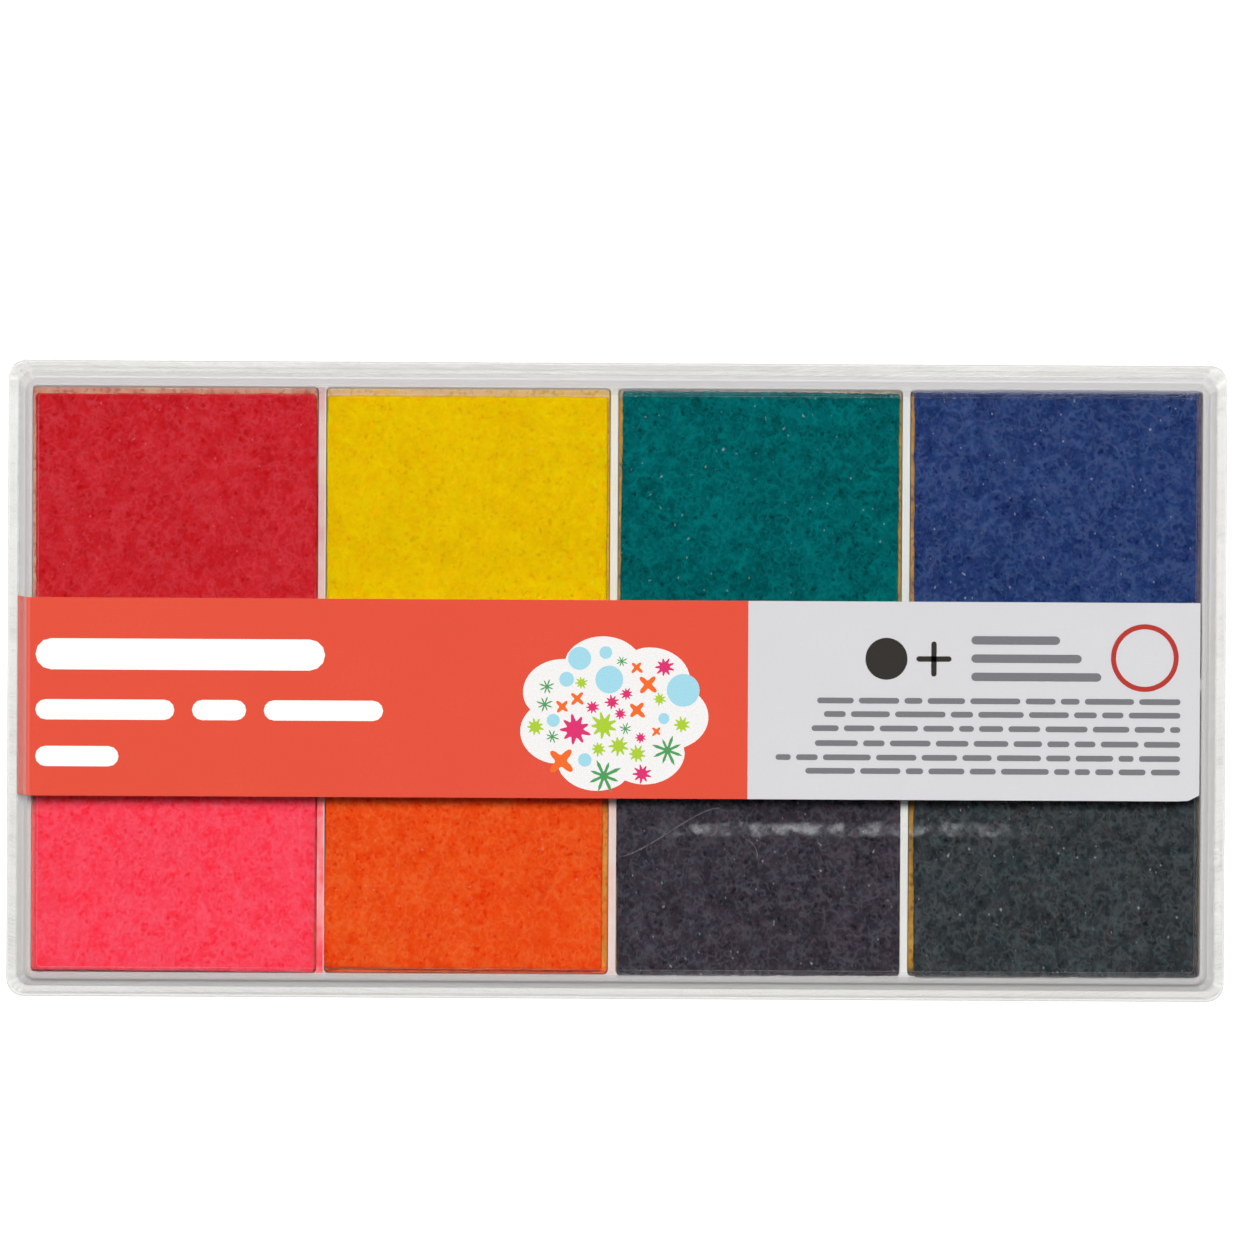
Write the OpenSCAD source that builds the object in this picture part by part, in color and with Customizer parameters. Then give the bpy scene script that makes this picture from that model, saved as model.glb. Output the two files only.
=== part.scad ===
// Eight-colour ink pad: a moulded tray of felt pads under a clear lift-off lid.
// Millimetres, +X along the case, +Z up, origin under the middle of the tray.

/* [Case] */
// Length of the closed case
case_l = 180; // [140:1:240]
// Width of the closed case
case_w = 94; // [75:1:130]
// Radius of the four outer corners
corner_r = 2.6; // [1.5:0.1:3.4]
// Width of the rim, from the outline to the pads
rim_w = 3.6; // [3.6:0.05:6]

/* [Tray] */
// Depth of the hollow under the tray's floor
foot_h = 3; // [1.5:0.1:6]
// Thickness of the floor
floor_t = 1.6; // [1:0.1:3]
// Thickness of the outer skirt
skirt_t = 1.3; // [0.8:0.1:1.6]
// Thickness of the lip round the pads
lip_t = 1; // [0.6:0.05:1.2]
// Height of the lip above the ledge that carries the lid
lip_h = 1.7; // [1:0.1:3]
// Thickness of the ribs between the pads
rib_t = 1.1; // [0.6:0.05:2]
// Extra length of the first and the last column of cells
end_extra = [0.25, 1.25]; // [0:0.05:2]
// Thickness of the stiffening ribs under the floor
brace_t = 1; // [0.6:0.1:2]

/* [Pads] */
// Thickness of one felt
felt_t = 1.6; // [1:0.1:4]
// Thickness of the board under each felt
backing_t = 4.3; // [1:0.1:6]
// Height of the felt above the lip and ribs
felt_proud = 0.3; // [0:0.1:1]
// Total play of a felt in its cell, along the case and across it
felt_play = [0.5, 1.45]; // [0.3:0.05:3]
// Total play of a board in its cell
backing_play = 0.3; // [0.2:0.1:1]

/* [Lid] */
// Thickness of the lid's flange
flange_t = 1.5; // [1:0.1:2.5]
// Width of the flange that shows round the raised middle
flange_w = 1.55; // [1:0.05:1.7]
// Thickness of the lid's raised middle
lid_t = 1.3; // [0.8:0.1:1.5]
// Free height between the felts and the lid
headroom = 3.7; // [1.5:0.1:3.9]
// Distance that the raised middle's sides lean inward
draft_w = 1.65; // [0.5:0.05:2.5]
// Clearance between the lip and the lid
lid_gap = 0.3; // [0.1:0.05:0.4]
// Radius of the raised middle's upper edge
edge_r = 1; // [0.3:0.1:1.5]

/* [Label] */
// Width of the label
label_w = 29.3; // [15:0.1:60]
// Distance of the label's middle from the case's middle, across the case
label_y = -2.3; // [-8:0.1:8]
// Thickness of the label
label_t = 0.12; // [0.1:0.01:0.3]
// Size of the label's clipped corner
label_clip = [1.8, 0.9]; // [0.5:0.1:3]

/* [Hidden] */
COLS = 4;
ROWS = 2;

// Smooth circles, and coarser ones inside a hull.
$fn = 64;
HULL_FN = 32;
// Slices this thin carry a hull's outlines.
SLICE = 0.01;
// Cuts run this far past the faces that they open.
PAST = 1;
// Number of steps in the raised middle's rounded edge
EDGE_STEPS = 4;

// Heights, from the table upward.
floor_z = foot_h + floor_t;
backing_z = floor_z + backing_t;
felt_z = backing_z + felt_t;
lip_z = felt_z - felt_proud;
ledge_z = lip_z - lip_h;
flange_z = ledge_z + flange_t;
ceiling_z = felt_z + headroom;
lid_z = ceiling_z + lid_t;

// The field of pads and one cell of it.
field = [case_l - 2 * rim_w, case_w - 2 * rim_w];
cell = [
    (field.x - (COLS - 1) * rib_t - end_extra[0] - end_extra[1]) / COLS,
    (field.y - (ROWS - 1) * rib_t) / ROWS
];
pitch = [cell.x + rib_t, cell.y + rib_t];
cell_r = min(0.8, cell.x / 8);
felt = [cell.x - felt_play.x, cell.y - felt_play.y];
felt_r = 0.6;
web_t = 1.5;
brace_gap = 0.4;

// The lid's outline at each height, as a distance in from the case's outline.
lip_inset = rim_w - lip_t;
cavity_inset = lip_inset - lid_gap;
top_inset = flange_w + draft_w;
ceiling_inset = max(cavity_inset, top_inset) + lid_t;
cavity_step_z = lip_z + lid_gap;
lid_lean = atan2(draft_w, lid_z - flange_z);
middle_r = 1.8;
top_r = 1.5;

// Column and row of each colour.
function place(name) =
    let (k = search([name], ["red", "yellow", "green", "blue",
                             "pink", "orange", "aubergine", "charcoal"])[0])
    [k % COLS, floor(k / COLS)];

// Size of a cell in this column.
function cell_size(col) = [
    cell.x + (col == 0 ? end_extra[0] : col == COLS - 1 ? end_extra[1] : 0),
    cell.y
];

// Middle of the rib that ends this many columns.
function rib_x(cols) = -field.x / 2 + end_extra[0] + cols * pitch.x - rib_t / 2;

// Middle of a cell, with the first row at the far side.
function cell_middle(at) = [
    at.x == 0 ? (cell_size(0).x - field.x) / 2
              : rib_x(at.x) + (rib_t + cell_size(at.x).x) / 2,
    ((ROWS - 1) / 2 - at.y) * pitch.y
];

// Points round the raised middle's upper edge, as [distance in, height], from
// the leaning side to the flat top.
function edge_points(grow = 0) =
    let (
        r = edge_r + grow,
        turn = 90 - lid_lean,
        middle = [top_inset + edge_r * tan(turn / 2), lid_z - edge_r]
    )
    [for (k = [0:EDGE_STEPS])
        let (a = lid_lean + turn * k / EDGE_STEPS)
        middle + r * [-cos(a), sin(a)]];

// A rectangle with round corners, as an exact outline.
module round_rect(size, r) {
    square([size.x - 2 * r, size.y], center = true);
    square([size.x, size.y - 2 * r], center = true);
    for (sx = [-1, 1], sy = [-1, 1])
        translate([sx * (size.x / 2 - r), sy * (size.y / 2 - r)]) circle(r);
}

// The case's outline moved in by a distance.
module outline(inset, r) {
    round_rect([case_l - 2 * inset, case_w - 2 * inset], r);
}

// A plate of that outline between two heights.
module plate(inset, r, low, high) {
    translate([0, 0, low]) linear_extrude(high - low) outline(inset, r);
}

// One thin slice of a hull.
module slice(inset, r, top) {
    translate([0, 0, top - SLICE])
        linear_extrude(SLICE) outline(inset, r, $fn = HULL_FN);
}

// The hollow under the floor, with a deeper groove inside the skirt.
module underside() {
    plate(skirt_t, corner_r - skirt_t, -PAST, foot_h);
    difference() {
        plate(skirt_t, corner_r - skirt_t, -PAST, ledge_z - web_t);
        plate(lip_inset, cell_r + lip_t, -2 * PAST, ledge_z);
    }
}

// Stiffening ribs under the floor, in line with the ribs between the pads.
module braces() {
    high = foot_h + PAST - brace_gap;
    for (k = [1:COLS - 1])
        translate([rib_x(k), 0, brace_gap + high / 2])
            cube([brace_t, case_w, high], center = true);
    for (k = [1:ROWS - 1])
        translate([0, (k - ROWS / 2) * pitch.y, brace_gap + high / 2])
            cube([case_l, brace_t, high], center = true);
}

module tray() {
    color("white") difference() {
        union() {
            plate(0, corner_r, 0, ledge_z);
            plate(lip_inset, cell_r + lip_t, 0, lip_z);
        }
        for (col = [0:COLS - 1], row = [0:ROWS - 1])
            translate(concat(cell_middle([col, row]), floor_z))
                linear_extrude(lip_z) round_rect(cell_size(col), cell_r);
        difference() {
            underside();
            braces();
        }
    }
}

module lid() {
    color("lightblue", 0.4) difference() {
        union() {
            plate(0, corner_r, ledge_z, flange_z);
            hull() {
                slice(flange_w, middle_r, ledge_z + flange_t / 2);
                slice(flange_w, middle_r, flange_z);
                for (p = edge_points()) slice(p.x, top_r, p.y);
            }
        }
        plate(cavity_inset, cell_r + lip_t + lid_gap, ledge_z - PAST, cavity_step_z);
        hull() {
            slice(cavity_inset, cell_r + lip_t + lid_gap, cavity_step_z);
            slice(ceiling_inset, cell_r, ceiling_z);
        }
    }
}

// A paper strip over the lid and down its left side to the flange.
module label() {
    over = edge_points(label_t);
    under = edge_points();
    foot = [flange_w, flange_z];
    lean = label_t * [-cos(lid_lean), sin(lid_lean)];
    // The strip ends where the right edge starts to turn down.
    right = case_l - under[EDGE_STEPS].x;
    outer = concat([[(foot + lean).x, foot.y]], over, [[right, lid_z + label_t]]);
    inner = concat([foot], under, [[right, lid_z]]);
    count = len(inner);
    path = concat(outer, [for (k = [1:count]) inner[count - k]]);
    near_y = label_y - label_w / 2;
    color("tomato") difference() {
        translate([-case_l / 2, label_y + label_w / 2, 0])
            rotate([90, 0, 0]) linear_extrude(label_w) polygon(path);
        translate([right - case_l / 2, near_y, lid_z - PAST])
            linear_extrude(3 * PAST)
                polygon([[PAST, -PAST], [PAST, label_clip.y + PAST * label_clip.y / label_clip.x],
                         [-label_clip.x - PAST * label_clip.x / label_clip.y, -PAST]]);
    }
}

// One felt, lying a little off its cell's middle and a little turned, and cut
// a little longer or shorter than the others.
module felt_pad(name, shade, off = [0, 0], turn = 0, longer = 0) {
    color(shade)
        translate(concat(cell_middle(place(name)) + off, backing_z))
            rotate([0, 0, turn])
                linear_extrude(felt_t) round_rect(felt + [longer, 0], felt_r);
}

// The stiff board that a felt lies on.
module backing(name) {
    size = cell_size(place(name).x) - [backing_play, backing_play];
    color("tan")
        translate(concat(cell_middle(place(name)), floor_z))
            linear_extrude(backing_t) round_rect(size, cell_r);
}

tray();
lid();
label();
felt_pad("red", "crimson", [0.2, -0.5], 0.3);  // felt_red
felt_pad("yellow", "gold", [-0.15, -0.65], 0, -0.15);  // felt_yellow
felt_pad("green", "teal", [0, 0.45], -0.4, -0.6);  // felt_green
felt_pad("blue", "navy", [-0.05, 0.6], 0.1, 0.3);  // felt_blue
felt_pad("pink", "hotpink", [0.2, -0.4], -0.3);  // felt_pink
felt_pad("orange", "orangered", [-0.4, -0.2], -0.2, -0.5);  // felt_orange
felt_pad("aubergine", "indigo", [0, -0.6], 0.2, 0.25);  // felt_aubergine
felt_pad("charcoal", "dimgray", [0.2, -0.6], 0.2, 0.4);  // felt_charcoal
backing("red");  // backing_red
backing("yellow");  // backing_yellow
backing("green");  // backing_green
backing("blue");  // backing_blue
backing("pink");  // backing_pink
backing("orange");  // backing_orange
backing("aubergine");  // backing_aubergine
backing("charcoal");  // backing_charcoal
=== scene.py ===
"""Looks of an eight-colour ink pad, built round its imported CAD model.

In metres, but for the print and the hairs, whose places are given in millimetres.
+X runs along the case, +Y across it and +Z up.
"""

import math

import bmesh
import bpy
import numpy as np
from mathutils import Matrix, Vector


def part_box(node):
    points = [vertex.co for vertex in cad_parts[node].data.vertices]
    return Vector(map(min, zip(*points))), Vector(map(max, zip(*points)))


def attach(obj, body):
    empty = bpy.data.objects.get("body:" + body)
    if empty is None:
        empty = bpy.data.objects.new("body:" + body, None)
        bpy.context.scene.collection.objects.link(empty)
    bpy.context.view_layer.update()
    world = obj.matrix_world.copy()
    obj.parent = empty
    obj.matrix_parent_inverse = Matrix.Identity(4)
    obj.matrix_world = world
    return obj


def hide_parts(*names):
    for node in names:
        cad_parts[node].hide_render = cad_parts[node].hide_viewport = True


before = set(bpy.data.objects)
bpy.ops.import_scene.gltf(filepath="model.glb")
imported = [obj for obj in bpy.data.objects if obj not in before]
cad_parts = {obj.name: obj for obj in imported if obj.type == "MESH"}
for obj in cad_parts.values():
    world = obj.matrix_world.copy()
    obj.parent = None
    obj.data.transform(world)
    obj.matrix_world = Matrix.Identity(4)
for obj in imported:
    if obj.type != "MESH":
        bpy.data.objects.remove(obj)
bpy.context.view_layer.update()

MM = 0.001

# ---------------------------------------------------------------- the case's sizes

LID_LOW, LID_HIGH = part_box("lid")
LABEL_LOW, LABEL_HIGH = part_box("label")
CASE_HALF = LID_HIGH.xy

CORNER_R = 2.6 * MM
MIDDLE_R = 1.8 * MM
TOP_R = 1.5 * MM
CELL_R = 0.8 * MM
RIM_W = 3.6 * MM
LIP_T = 1.0 * MM
# Play between lid and lip: above it, and beside it, where a wide gap would draw a dark line.
LID_GAP = 0.3 * MM
SNUG = 0.06 * MM
LID_T = 1.3 * MM
FLANGE_T = 1.5 * MM
FLANGE_W = 1.55 * MM
DRAFT_W = 1.65 * MM
EDGE_R = 1.0 * MM

LEDGE_Z = LID_LOW.z
FLANGE_Z = LEDGE_Z + FLANGE_T
LID_Z = LID_HIGH.z
CEILING_Z = LID_Z - LID_T
LIP_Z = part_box("tray")[1].z
LABEL_T = LABEL_HIGH.z - LID_Z

COLUMNS = 4
FIELD_HALF = CASE_HALF - Vector((RIM_W, RIM_W))

# Colours as they look in white light, in sRGB, in two rows from the far left.
FELTS = {
    "red": "c01a23",
    "yellow": "e0b600",
    "green": "005355",
    "blue": "1f3366",
    "pink": "fc3a50",
    "orange": "e3450d",
    "aubergine": "302b34",
    "charcoal": "2c3134",
}
# How pale the felts' fibres are, and how bright each felt's few specks of lint.
FIBRE_LIFT = 0.34
SPECKS = dict(zip(FELTS, (0.12, 0.05, 0.25, 0.35, 0.05, 0.1, 0.3, 0.35)))
# How strongly each colour's ink has tinted the plastic round it.
STAINS = {
    "red": 0.46,
    "yellow": 0.16,
    "green": 0.1,
    "blue": 0.07,
    "pink": 0.85,
    "orange": 0.3,
    "aubergine": 0.05,
    "charcoal": 0.05,
}
# Boards whose outer margins are soaked in ink.
SOAKED = ("blue", "pink", "orange", "aubergine", "charcoal")
TRAY_WHITE = "f8f7f4"
RIB_WHITE = "e2e2de"
# Grey of the painted shade on the ledge, and its share along the near side.
LEDGE_SHADE_GREY = "959590"
LEDGE_SHADE_SHARE = 0.15
BOARD_DARK = "b9862f"
BOARD_PALE = "d3a24e"
# Painted light: a paler tan for the boards' margins, where the gap beside the lip lies in shade.
BOARD_MARGIN_PAINTED_LIGHT = "dcc7b4"
LABEL_RED = "e95742"
LABEL_GREY = "dcdbde"


def srgb(text, alpha=1.0):
    """Linear colour of an sRGB hex code."""
    levels = [int(text[k : k + 2], 16) / 255 for k in (0, 2, 4)]
    linear = [v / 12.92 if v < 0.04045 else ((v + 0.055) / 1.055) ** 2.4 for v in levels]
    return (*linear, alpha)


def scaled(colour, by):
    """A linear colour made lighter or darker."""
    return (*(min(v * by, 1.0) for v in colour[:3]), colour[3])


# ---------------------------------------------------------------- node helpers


def new_material(name):
    """A material with only its Principled shader, and that shader's tree."""
    material = bpy.data.materials.new(name)
    material.use_nodes = True
    tree = material.node_tree
    return material, tree, tree.nodes["Principled BSDF"]


def add(tree, kind, inputs=None, **settings):
    """One shader node. An input given as a socket is linked, and any other is set."""
    made = tree.nodes.new("ShaderNode" + kind)
    for key, value in settings.items():
        setattr(made, key, value)
    for key, value in (inputs or {}).items():
        if isinstance(value, bpy.types.NodeSocket):
            tree.links.new(value, made.inputs[key])
        else:
            made.inputs[key].default_value = value
    return made


def place(tree):
    """The piece's own coordinates, in metres."""
    return add(tree, "TexCoord").outputs["Object"]


def noise(tree, where, size, detail=2.0, roughness=0.5, seed=0):
    """Noise whose blotches are about `size` metres across."""
    inputs = {"Vector": where, "W": seed, "Scale": 1 / size, "Detail": detail, "Roughness": roughness}
    return add(tree, "TexNoise", inputs, noise_dimensions="4D").outputs["Fac"]


def spread(tree, value, low, high, to_low=0.0, to_high=1.0):
    """A value taken from one range to another, and held at its ends."""
    inputs = {"Value": value, "From Min": low, "From Max": high, "To Min": to_low, "To Max": to_high}
    return add(tree, "MapRange", inputs, interpolation_type="SMOOTHSTEP").outputs["Result"]


def sums(tree, operation, a, b=0.5, c=0.5):
    """One step of arithmetic."""
    return add(tree, "Math", {0: a, 1: b, 2: c}, operation=operation).outputs["Value"]


def mixed(tree, factor, a, b):
    """Two colours mixed."""
    made = add(tree, "Mix", data_type="RGBA")
    for key, value in (("Factor", factor), ("A", a), ("B", b)):
        socket = next(s for s in made.inputs if s.name == key and s.enabled)
        if isinstance(value, bpy.types.NodeSocket):
            tree.links.new(value, socket)
        else:
            socket.default_value = value
    return next(s for s in made.outputs if s.enabled)


def stretched(tree, where, angle, scale):
    """Coordinates turned about Z by an angle in degrees, then scaled."""
    turned = add(tree, "Mapping", {"Vector": where, "Rotation": (0, 0, math.radians(angle))})
    return add(tree, "Mapping", {"Vector": turned.outputs[0], "Scale": scale}).outputs[0]


def bump(tree, height, distance, strength=1.0):
    """A normal bent by a height that spans `distance` metres."""
    inputs = {"Height": height, "Distance": distance, "Strength": strength}
    return add(tree, "Bump", inputs).outputs["Normal"]


# ---------------------------------------------------------------- materials

def strands(tree, where, size, seed):
    """Short curly fibres, as broken contour lines of a noise, 0 to 1."""
    off = sums(tree, "ABSOLUTE", sums(tree, "SUBTRACT", noise(tree, where, size, 1.0, seed=seed), 0.5))
    line = spread(tree, off, 0.0, 0.09, 1.0, 0.0)
    broken = spread(tree, noise(tree, where, 1.2 * size, 1.0, seed=seed + 7), 0.44, 0.58)
    return sums(tree, "MULTIPLY", line, broken)


def felt_material(name, shade):
    """Ink-soaked felt: curly fibres over a mottled ground with small dark pits. Wet dark
    places are deeper in colour, not greyer, so the ground's tone is a power of the colour."""
    material, tree, shader = new_material("felt " + name)
    where = place(tree)
    fibre = strands(tree, where, 1.15 * MM, 1)
    fibre = sums(tree, "MAXIMUM", fibre, sums(tree, "MULTIPLY", strands(tree, where, 1.8 * MM, 2), 0.9))
    fibre = sums(tree, "MAXIMUM", fibre, sums(tree, "MULTIPLY", strands(tree, where, 0.7 * MM, 3), 0.6))
    pits = spread(tree, noise(tree, where, 0.6 * MM, 2.0, seed=4), 0.3, 0.43, 1.0, 0.0)
    mottle = noise(tree, where, 4.5 * MM, 3.0, 0.6, seed=5)
    patch = noise(tree, where, 1.3 * MM, 2.0, 0.6, seed=6)
    tone = add(tree, "Attribute", attribute_name="tone").outputs["Fac"]
    power = spread(tree, mottle, 0.3, 0.7, 1.2, 1.07)
    power = sums(tree, "MULTIPLY_ADD", patch, -0.42, power)
    power = sums(tree, "MULTIPLY_ADD", pits, 0.3, power)
    power = sums(tree, "MULTIPLY_ADD", tone, -0.2, sums(tree, "ADD", power, 0.1))
    ground = add(tree, "Gamma", {"Color": srgb(shade), "Gamma": power}).outputs["Color"]
    pale = tuple(v**0.55 for v in srgb(shade))
    haired = mixed(tree, sums(tree, "MULTIPLY", fibre, FIBRE_LIFT), ground, pale)
    specks = spread(tree, noise(tree, where, 0.55 * MM, 0.0, seed=8), 0.8, 0.86, 0.0, SPECKS[name])
    tree.links.new(mixed(tree, specks, haired, srgb("dfe3ea")), shader.inputs["Base Color"])
    tree.links.new(spread(tree, fibre, 0.0, 1.0, 0.95, 0.75), shader.inputs["Roughness"])
    shader.inputs["Specular IOR Level"].default_value = 0.08
    shader.inputs["Subsurface Weight"].default_value = 0.8
    shader.inputs["Subsurface Radius"].default_value = (1.0, 0.08, 0.1)
    shader.inputs["Subsurface Scale"].default_value = 1.5 * MM
    height = sums(tree, "SUBTRACT", sums(tree, "MULTIPLY", fibre, 0.6), pits)
    tree.links.new(bump(tree, height, 0.08 * MM, 0.6), shader.inputs["Normal"])
    return material


def past_field(tree, where):
    """How far a point is outside the field of cells, below 0 within it."""
    axes = add(tree, "SeparateXYZ", {"Vector": where})
    past = [
        sums(tree, "SUBTRACT", sums(tree, "ABSOLUTE", axes.outputs[k]), FIELD_HALF[k]) for k in (0, 1)
    ]
    return sums(tree, "MAXIMUM", *past)


def rib_middles():
    """Where the ribs between the columns stand along X."""
    row = list(FELTS)[:COLUMNS]
    boards = [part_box("backing_" + name) for name in row]
    return [(left[1].x + right[0].x) / 2 for left, right in zip(boards, boards[1:])]


def cell_ramp(tree, along, values):
    """A colour for each column of cells, from colours listed left to right."""
    ramp = add(tree, "ValToRGB", {"Fac": along})
    ramp.color_ramp.interpolation = "CONSTANT"
    stops = ramp.color_ramp.elements
    starts = [0.0] + [0.5 + x / (2 * FIELD_HALF.x) for x in rib_middles()]
    while len(stops) < len(starts):
        stops.new(1.0)
    for stop, start, value in zip(stops, starts, values):
        stop.position = start
        stop.color = value
    return ramp.outputs


def tray_material():
    """White moulded polystyrene, tinted by ink beside each felt, with painted shade on the ledge along
    the near side.
    """
    material, tree, shader = new_material("tray")
    where = place(tree)
    axes = add(tree, "SeparateXYZ", {"Vector": where})
    inputs = {"Value": axes.outputs["X"], "From Min": -FIELD_HALF.x, "From Max": FIELD_HALF.x}
    along = add(tree, "MapRange", inputs).outputs["Result"]
    names = list(FELTS)
    far, near = (
        cell_ramp(tree, along, [(*srgb(FELTS[n])[:3], STAINS[n]) for n in names[k : k + COLUMNS]])
        for k in (0, COLUMNS)
    )
    near_row = sums(tree, "LESS_THAN", axes.outputs["Y"], 0.0)
    ink = mixed(tree, near_row, far["Color"], near["Color"])
    far_share = sums(tree, "MULTIPLY", far["Alpha"], sums(tree, "SUBTRACT", 1.0, near_row))
    strength = sums(tree, "MULTIPLY_ADD", near["Alpha"], near_row, far_share)
    # Ink creeps up only where a felt can touch, in patches.
    inside = sums(tree, "LESS_THAN", past_field(tree, where), -0.05 * MM)
    patches = spread(tree, noise(tree, where, 6 * MM, 4.0, 0.6), 0.3, 0.75, 0.6, 1.3)
    stain = sums(tree, "MULTIPLY", sums(tree, "MULTIPLY", inside, patches), strength)
    # Painted shade: the ledge under the lid's rim is greyed, most of all along the near side, where the
    # lid's walls shade it.
    normal = add(tree, "NewGeometry").outputs["Normal"]
    facing = add(tree, "SeparateXYZ", {"Vector": normal}).outputs["Z"]
    ledge = sums(tree, "MULTIPLY", spread(tree, facing, 0.6, 0.9), sums(tree, "SUBTRACT", 1.0, inside))
    across = {"Value": axes.outputs["Y"], "From Min": -CASE_HALF.y, "From Max": CASE_HALF.y}
    painted_shade = add(tree, "MapRange", {**across, "To Min": LEDGE_SHADE_SHARE, "To Max": 0.0}).outputs["Result"]
    white = mixed(tree, sums(tree, "MULTIPLY", ledge, painted_shade), srgb(TRAY_WHITE), srgb(LEDGE_SHADE_GREY))
    white = mixed(tree, inside, white, srgb(RIB_WHITE))
    tree.links.new(mixed(tree, stain, white, ink), shader.inputs["Base Color"])
    gloss = spread(tree, noise(tree, where, 9 * MM, 3.0), 0.3, 0.7, 0.3, 0.38)
    tree.links.new(gloss, shader.inputs["Roughness"])
    peel = noise(tree, where, 0.9 * MM, 2.0)
    tree.links.new(bump(tree, peel, 0.01 * MM, 0.4), shader.inputs["Normal"])
    shader.inputs["IOR"].default_value = 1.57
    return material


def backing_material(name, shade):
    """Undyed pressed fibre board, speckled and tinted where the felt's ink has crept in, and painted
    paler along its margins against the shade there.
    """
    material, tree, shader = new_material("backing " + name)
    where = place(tree)
    cloud = spread(tree, noise(tree, where, 2.5 * MM, 4.0, 0.6), 0.3, 0.7)
    ground = mixed(tree, cloud, srgb(BOARD_DARK), srgb(BOARD_PALE))
    flakes = spread(tree, noise(tree, where, 0.3 * MM, 3.0), 0.55, 0.7)
    fibred = mixed(tree, sums(tree, "MULTIPLY", flakes, 0.35), ground, srgb("e6c98c"))
    specks = spread(tree, noise(tree, where, 0.7 * MM, 2.0), 0.5, 0.68)
    wet = spread(tree, noise(tree, where, 3.5 * MM, 3.0, 0.6), 0.35, 0.65, 0.12, 0.5)
    if name in SOAKED:
        margin = spread(tree, past_field(tree, where), -1.5 * MM, -0.7 * MM, 0.0, 0.85)
        wet = sums(tree, "MAXIMUM", wet, margin)
    else:
        # Painted light: the margin along the field's edge is painted paler, against the shade of the
        # gap beside the lip.
        margin = spread(tree, past_field(tree, where), -1.7 * MM, -1.2 * MM, 0.0, 0.6)
        fibred = mixed(tree, margin, fibred, srgb(BOARD_MARGIN_PAINTED_LIGHT))
    soaked = mixed(tree, wet, fibred, srgb(shade))
    spotted = mixed(tree, sums(tree, "MULTIPLY", specks, 0.55), soaked, scaled(srgb(shade), 0.5))
    tree.links.new(spotted, shader.inputs["Base Color"])
    shader.inputs["Roughness"].default_value = 0.9
    shader.inputs["Specular IOR Level"].default_value = 0.2
    tree.links.new(bump(tree, flakes, 0.05 * MM, 0.6), shader.inputs["Normal"])
    return material


# The pale smudge on the lid, over the two black felts.
SMUDGE_FROM = Vector((3.5, -21.5)) * MM
SMUDGE_TO = Vector((66, -21.3)) * MM
SMUDGE_HALF = 0.9 * MM
SMUDGE_SHARE = 0.23

# The share of what comes through the lid that goes straight on, in its panes and walls.
STRAIGHT = 0.8
WALL_STRAIGHT = 0.94
# How milky the walls are, and how pale that milk is.
MILK = 0.5
MILK_GREY = (0.54, 0.532, 0.532, 1)
# The light that each pass through a surface lets by.
PANE_TINT = (0.985, 0.986, 0.985, 1)
WALL_TINT = (0.92, 0.914, 0.914, 1)


def lid_material():
    """Clear polystyrene with fine wipe marks, faintly milky sides and a smudge on top."""
    material, tree, shader = new_material("lid")
    where = place(tree)
    shader.inputs["Base Color"].default_value = (0.985, 0.99, 0.985, 1)
    shader.inputs["Transmission Weight"].default_value = 1.0
    shader.inputs["IOR"].default_value = 1.57
    shader.inputs["Specular IOR Level"].default_value = 1.0
    wipes = None
    for angle in (12, 63, 131):
        along = stretched(tree, where, angle, (1 / (14 * MM), 1 / (0.12 * MM), 1 / (5 * MM)))
        lines = add(tree, "TexNoise", {"Vector": along, "Scale": 1.0, "Detail": 2.0}).outputs["Fac"]
        wipes = lines if wipes is None else sums(tree, "MAXIMUM", wipes, lines)
    scratch = spread(tree, wipes, 0.74, 0.82)
    facing = add(tree, "SeparateXYZ", {"Vector": add(tree, "NewGeometry").outputs["Normal"]})
    level = sums(tree, "ABSOLUTE", facing.outputs["Z"])
    dull = spread(tree, level, 0.9, 1.0, 0.12, 0.02)
    tree.links.new(sums(tree, "MULTIPLY_ADD", scratch, 0.08, dull), shader.inputs["Roughness"])
    fine = bump(tree, scratch, 0.004 * MM, 0.15)
    tree.links.new(fine, shader.inputs["Normal"])

    # Most of what comes through goes straight on, and lamps reach the felts that way too.
    # A leaning wall holds back more of it than a flat one.
    tint = mixed(tree, spread(tree, level, 0.3, 0.98), WALL_TINT, PANE_TINT)
    clear = add(tree, "BsdfTransparent", {"Color": tint}).outputs[0]
    path = add(tree, "LightPath")
    passes = sums(tree, "MAXIMUM", path.outputs["Is Shadow Ray"], path.outputs["Is Diffuse Ray"])
    onwards = spread(tree, level, 0.9, 1.0, WALL_STRAIGHT, STRAIGHT)
    straight = sums(tree, "MAXIMUM", passes, onwards)
    surface = add(tree, "MixShader", {0: straight, 1: shader.outputs[0], 2: clear}).outputs[0]
    # The milk is only outside the field of cells, where nothing dark lies below.
    milk = add(tree, "BsdfDiffuse", {"Color": MILK_GREY}).outputs[0]
    leaning = spread(tree, level, 0.35, 0.95, MILK, 0.0)
    share = sums(tree, "MULTIPLY", leaning, sums(tree, "SUBTRACT", 1.0, passes))
    share = sums(tree, "MULTIPLY", share, spread(tree, past_field(tree, where), -0.5 * MM, 0.1 * MM))
    surface = add(tree, "MixShader", {0: share, 1: surface, 2: milk}).outputs[0]
    surface = smudged(tree, where, surface)
    tree.links.new(surface, tree.nodes["Material Output"].inputs["Surface"])
    return material


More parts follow.
